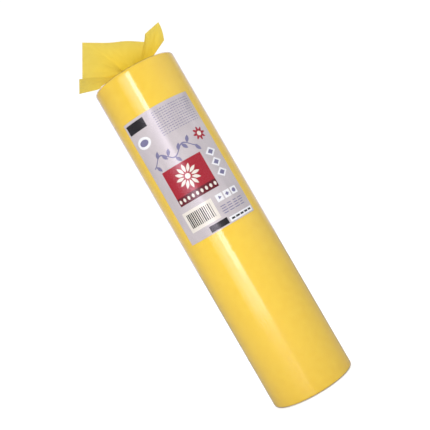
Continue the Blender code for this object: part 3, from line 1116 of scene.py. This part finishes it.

# The sample's finish, with its colours painted lighter and paler than the roll's cloth
sample_finish_painted_lighter, tree, shader, colour = cloth_finish("yellow_sample_cloth", sample_painted_lit_dark, sample_painted_lit_light)
# Painted glow: the colour turns a richer yellow towards the mouth, for light bouncing between and shining
# through the gathered layers
painted_glow_share = add_node(tree, "ShaderNodeAttribute", attribute_name="painted_glow_share").outputs["Fac"]
painted_glow_colour = add_node(
    tree,
    "ShaderNodeMix",
    {"Factor": painted_glow_share, "A": colour, "B": sample_painted_glow_tint},
    data_type="RGBA",
    blend_type="MULTIPLY",
).outputs["Result"]
tree.links.new(painted_glow_colour, shader.inputs["Base Color"])
glow = add_node(tree, "ShaderNodeBsdfTranslucent", {"Color": painted_glow_colour})
lit = add_node(
    tree, "ShaderNodeMixShader", {0: sample_light_through, 1: shader.outputs[0], 2: glow.outputs[0]}
)
tree.links.new(lit.outputs[0], tree.nodes["Material Output"].inputs["Surface"])

sample_sheet = add_piece("sample_sheet", sample_mesh, sample_finish_painted_lighter, crease=60.0)
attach(sample_sheet, "sample")
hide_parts("cloth_sample")


# The studio is a satin white floor in a room with pale walls. A tall soft light stands to the left of
# the camera, with its inner edge close to the lens, and the walls fill in from the right, above and
# behind.
floor_half = 3.0
floor_tone = (0.80, 0.80, 0.80)
mirrored_floor_tone = (0.36, 0.36, 0.36)
floor_glow = 0.55
backdrop_glow = 1.05
light_distance = 0.80
light_top = 0.62
warm_white = (1.0, 0.98, 0.95)
rosy_white = (1.0, 0.95, 1.0)
mirrored_least = 0.06
mirrored_most = 0.27
camera_distance = 0.9274
camera_height = 0.2195
camera_roll = math.radians(30.06)
camera_lens = 69.5

floor_mesh = bpy.data.meshes.new("floor")
floor_corners = [(x * floor_half, y * floor_half, 0.0) for x, y in ((-1, -1), (1, -1), (1, 1), (-1, 1))]
floor_mesh.from_pydata(floor_corners, [], [(0, 1, 2, 3)])

# The floor glows for the camera alone, to stay white, and is darker where the film mirrors it
white_floor, tree, shader = new_finish("white_floor", roughness=0.45)
shader.inputs["Emission Color"].default_value = (1.0, 1.0, 1.0, 1.0)
path = add_node(tree, "ShaderNodeLightPath").outputs
shown_glow = calc(tree, "MULTIPLY", path["Is Camera Ray"], floor_glow)
shown_tone = two_tone(tree, path["Is Glossy Ray"], floor_tone, mirrored_floor_tone)
tree.links.new(shown_glow, shader.inputs["Emission Strength"])
tree.links.new(shown_tone, shader.inputs["Base Color"])
floor = add_piece("floor", floor_mesh, white_floor)
floor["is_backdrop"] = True

# The tall light is brightest along its inner edge and dims outwards, so it is made up of six panels that
# face the roll's axis. A bearing is in degrees to the right of the camera's line.
for name, bearing, foot, top, width, brightness, tint in (
    ("key_strip", -13.5, 0.30, light_top, 0.150, 9.4, warm_white),
    ("key_waist", -11.9, 0.10, 0.30, 0.196, 7.2, warm_white),
    ("key_foot", -11.9, 0.00, 0.10, 0.196, 3.7, warm_white),
    ("key_shoulder", -25.0, 0.00, light_top, 0.165, 2.7, rosy_white),
    ("key_edge", -33.5, 0.00, light_top, 0.075, 2.0, warm_white),
    ("key_rim", -40.0, 0.00, light_top, 0.105, 1.1, warm_white),
):
    light = bpy.data.lights.new(name, "AREA")
    light.shape = "RECTANGLE"
    light.size = width
    light.size_y = top - foot
    light.energy = brightness * math.pi * width * (top - foot)
    light.color = tint
    lamp = bpy.data.objects.new(name, light)
    angle = math.radians(bearing)
    side, ahead = light_distance * math.sin(angle), light_distance * math.cos(angle)
    lamp.location = (side, -ahead, 0.5 * (foot + top))
    lamp.rotation_euler = (0.5 * math.pi, 0.0, angle)
    bpy.context.scene.collection.objects.link(lamp)

studio = bpy.data.worlds.new("studio")
studio.use_nodes = True
bpy.context.scene.world = studio
tree = studio.node_tree
tree.nodes.clear()
backdrop = add_node(
    tree, "ShaderNodeBackground", {"Color": (1.0, 1.0, 1.0, 1.0), "Strength": backdrop_glow}
)
toward = add_node(tree, "ShaderNodeTexCoord").outputs["Generated"]
path = add_node(tree, "ShaderNodeLightPath").outputs


def wall_glow(level, rise):
    """The glow of the room: a level, which rises along a direction and isn't below nothing."""
    lean = add_node(tree, "ShaderNodeVectorMath", {0: toward, 1: rise}, operation="DOT_PRODUCT")
    return calc(tree, "MAXIMUM", calc(tree, "ADD", lean.outputs["Value"], level), 0.0)


# What the room sheds on the roll: walls all round, the ceiling with the wall behind, and the front right
soft_glow = calc(
    tree,
    "ADD",
    wall_glow(level=0.43, rise=(0.26, 0.19, 0.0)),
    wall_glow(level=0.0, rise=(0.0, 0.456, 0.608)),
)
soft_glow = calc(tree, "ADD", soft_glow, wall_glow(level=0.0, rise=(0.20, -0.17, 0.13)))

# What the film mirrors of the room: dim walls, a pale one far behind, and one to the right of the camera
mirrored_room = calc(tree, "MINIMUM", wall_glow(level=0.40, rise=(0.0, 0.48, 0.0)), mirrored_most)
mirrored_room = calc(tree, "MAXIMUM", mirrored_room, mirrored_least)
mirrored_room = calc(tree, "ADD", mirrored_room, wall_glow(level=-0.85, rise=(0.0, 1.6, 0.0)))
mirrored_room = calc(tree, "ADD", mirrored_room, wall_glow(level=-0.35, rise=(0.63, -0.31, 0.0)))
room = add_node(
    tree, "ShaderNodeMix", {"Factor": path["Is Glossy Ray"], "A": soft_glow, "B": mirrored_room}
)
ambient = add_node(
    tree, "ShaderNodeBackground", {"Color": (0.96, 0.98, 1.0, 1.0), "Strength": room.outputs["Result"]}
)
surroundings = add_node(
    tree,
    "ShaderNodeMixShader",
    {0: path["Is Camera Ray"], 1: ambient.outputs[0], 2: backdrop.outputs[0]},
)
add_node(tree, "ShaderNodeOutputWorld", {"Surface": surroundings.outputs[0]})
bpy.context.scene.view_settings.view_transform = "Standard"

camera = bpy.data.objects.new("camera", bpy.data.cameras.new("camera"))
camera.data.lens = camera_lens
camera.data.sensor_width = 36.0
camera.data.clip_start = 0.01
camera.location = (0.0, -camera_distance, camera_height)
camera.rotation_euler = (0.5 * math.pi, camera_roll, 0.0)
bpy.context.scene.collection.objects.link(camera)
bpy.context.scene.camera = camera


low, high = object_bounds()
